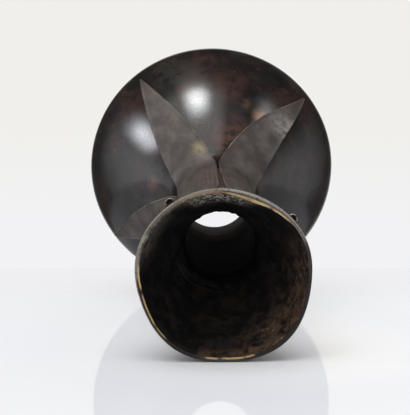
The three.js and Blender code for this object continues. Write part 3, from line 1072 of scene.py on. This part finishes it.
def table_finish():
    finish = new_finish("glossy white table")
    place = finish.coordinates()
    start = from_room((0, 0, 0))
    side, depth = (finish.dot(place, way) - way.dot(start) for way in (ROOM_RIGHT, ROOM_AWAY))
    # Painted shade: darker on the left and towards the front, as the light falls on the table.
    near = finish.mix(paint(220, 223, 231), paint(225, 228, 236), side.past(-150, 150))
    far = finish.mix(paint(224, 228, 237), paint(235, 239, 248), side.past(-150, 150))
    far = finish.mix(paint(219, 223, 232), far, depth.past(760, 980))
    colour = finish.mix(near, far, depth.past(PALE_FRONT - 2, PALE_FRONT + 1))
    # Painted light: a paler patch under the mouth lifts its shadow.
    painted_light_patch = spot(finish, place, from_room(PAINTED_LIGHT_MIDDLE) / MM, PAINTED_LIGHT_RADIUS, PAINTED_LIGHT_FADE)
    colour = finish.mix(colour, paint(248, 249, 252), painted_light_patch * 0.85)
    # Painted shade: in gloss the table is darker, as the vase's shadow on it.
    colour = finish.mix(colour, paint(172, 175, 183), finish.ray("Glossy"))
    white = finish.node("ShaderNodeBsdfDiffuse", {}, {"Color": colour})
    gloss = finish.node("ShaderNodeBsdfGlossy", {}, {"Color": (1, 0.94, 0.8, 1), "Roughness": 0.04})
    top = finish.node("ShaderNodeMixShader", {}, {0: TABLE_GLOSS, 1: white, 2: gloss})
    clear = finish.node("ShaderNodeBsdfTransparent")
    from_below = finish.node("ShaderNodeNewGeometry", out="Backfacing")
    past_edge = depth.past(TABLE_BACK - TABLE_BACK_FADE, TABLE_BACK + TABLE_BACK_FADE)
    hazy = depth.past(HAZE_START, TABLE_BACK) * finish.ray("Camera") * HAZE
    seen_through = finish.larger(from_below, finish.larger(past_edge, hazy))
    mixed = finish.node("ShaderNodeMixShader", {}, {0: seen_through, 1: top, 2: clear})
    return finish.surface(mixed)


def flat_sheet(name, finish):
    """A square sheet of half width 1, for the room alone."""
    shape = bmesh.new()
    bmesh.ops.create_grid(shape, x_segments=1, y_segments=1, size=1)
    mesh = bpy.data.meshes.new(name)
    shape.to_mesh(mesh)
    shape.free()
    sheet = bpy.data.objects.new(name, mesh)
    bpy.context.scene.collection.objects.link(sheet)
    mesh.materials.append(finish)
    return sheet


def table():
    top = flat_sheet("table", table_finish())
    far = TABLE_BACK + TABLE_BACK_FADE
    for vertex in top.data.vertices:
        side, away = vertex.co.x, (vertex.co.y + 1) / 2
        vertex.co = from_room((side * TABLE_REACH, TABLE_NEAR + (far - TABLE_NEAR) * away, 0))
    if top.data.polygons[0].normal.dot(ROOM_UP) < 0:
        top.data.flip_normals()


table()


# Lamps: a broad one overhead and a weak one from the camera's left light the vase. Glowing panels
# with soft borders show in its gloss alone.

SHOULDER_IN_ROOM = (4, 935, 105)


def around_shoulder(side, back, distance):
    """A place seen from the shoulder: degrees right of overhead, degrees away, and its distance."""
    turn, away = math.radians(side), math.radians(back)
    way = Vector((math.sin(turn) * math.cos(away), math.sin(away), math.cos(turn) * math.cos(away)))
    return Vector(SHOULDER_IN_ROOM) + way * distance


def facing(place, target):
    """A stand at a place in the room, looking at a target."""
    start = from_room(place)
    aim = from_room(target) - start
    return Matrix.Translation(start) @ aim.to_track_quat("-Z", "Y").to_matrix().to_4x4()


def lamp(name, place, target, width, height, power, tint):
    light = bpy.data.lights.new(name, "AREA")
    light.shape = "RECTANGLE"
    light.size = width * MM
    light.size_y = height * MM
    light.energy = power
    light.color = tint
    holder = bpy.data.objects.new(name, light)
    bpy.context.scene.collection.objects.link(holder)
    holder.matrix_world = facing(place, target)
    holder.visible_camera = False
    holder.visible_glossy = False


def panel(name, place, width, height, fades, strength, tint, roll):
    """A glowing sheet that looks at the shoulder, with fades at its left, right, back and front."""
    finish = new_finish(name)
    across, along = finish.parts(finish.coordinates())[:2]
    glow = 1.0
    for way, half, (start, end) in ((across, width / 2, fades[:2]), (along, height / 2, fades[2:])):
        glow = glow * way.past(-half, start - half) * (1 - way.past(half - end, half))
    light = finish.mix((0, 0, 0, 1), (*tint, 1), glow)
    glowing = finish.node("ShaderNodeEmission", {}, {"Color": light, "Strength": strength})
    clear = finish.node("ShaderNodeBsdfTransparent")
    added = finish.node("ShaderNodeAddShader", {}, {0: glowing, 1: clear})
    sheet = flat_sheet(name, finish.surface(added))
    for vertex in sheet.data.vertices:
        vertex.co = Vector((vertex.co.x * width / 2, vertex.co.y * height / 2, 0)) * MM
    turn = Matrix.Rotation(math.radians(roll), 4, "Z")
    sheet.matrix_world = facing(place, SHOULDER_IN_ROOM) @ turn
    sheet.visible_camera = False
    sheet.visible_diffuse = False
    sheet.visible_shadow = False
    sheet.visible_transmission = False


lamp("broad light above", around_shoulder(-8, -16, 3400), SHOULDER_IN_ROOM,
     3800, 3400, 90, (1, 0.99, 0.97))
lamp("fill", (-700, 0, 700), MOUTH_IN_ROOM, 900, 900, 2.0, (1, 0.97, 0.93))

# Each panel: name, place round the shoulder, width and height, fades, strength, tint and roll.
PANELS = (
    ("top panel", (-12.5, -2.5, 1000), (540, 176), (270, 270, 60, 116), 33, (0.97, 0.985, 1), 0),
    ("ceiling left", (-16, -15, 1000), (1280, 700), (300, 230, 90, 150), 2.1, (1, 0.99, 0.98), 0),
    ("ceiling right", (20, -11, 1000), (930, 536), (400, 400, 120, 200), 0.4, (1, 0.99, 0.98), 0),
    ("left panel", (-64.5, 4.6, 1300), (690, 350), (345, 345, 175, 175), 18, (0.9, 0.93, 1), -20),
    ("right panel", (50, 2, 1300), (700, 380), (350, 350, 120, 190), 5.5, (1, 1, 1), 0),
    ("left wall", (-92, 4, 1300), (1560, 1350), (700, 200, 600, 450), 1.6, (0.94, 0.96, 1), 0),
    ("right wall", (96, 8, 1300), (1500, 1700), (300, 700, 800, 500), 0.9, (0.98, 0.98, 1), 0),
)
for name, stand, size, fades, strength, tint, roll in PANELS:
    panel(name, around_shoulder(*stand), *size, fades, strength, tint, roll)


# The white backdrop, seen by the camera and in gloss, and a dim room round it.

def backdrop():
    world = bpy.data.worlds.new("backdrop")
    bpy.context.scene.world = world
    finish = Finish(world)
    way = finish.coordinates("Generated")
    height = finish.dot(way, ROOM_UP).between(-0.155, -0.08)
    behind = finish.dot(way, ROOM_AWAY).between(0.8, 0.93)
    drop = finish.mix(paint(242, 242, 244), paint(240, 239, 235), height)
    mirrored = finish.larger(finish.ray("Glossy"), finish.ray("Transmission")) * behind
    seen = finish.larger(finish.ray("Camera"), mirrored)
    dim = finish.ray("Diffuse") * 0.6 + 0.07
    soft = finish.node("ShaderNodeBackground", {}, {"Color": paint(255, 254, 252), "Strength": dim})
    white = finish.node("ShaderNodeBackground", {}, {"Color": drop, "Strength": 1.0})
    mixed = finish.node("ShaderNodeMixShader", {}, {0: seen, 1: soft, 2: white})
    finish.surface(mixed, "ShaderNodeOutputWorld")


backdrop()

bpy.context.scene.view_settings.view_transform = "Standard"
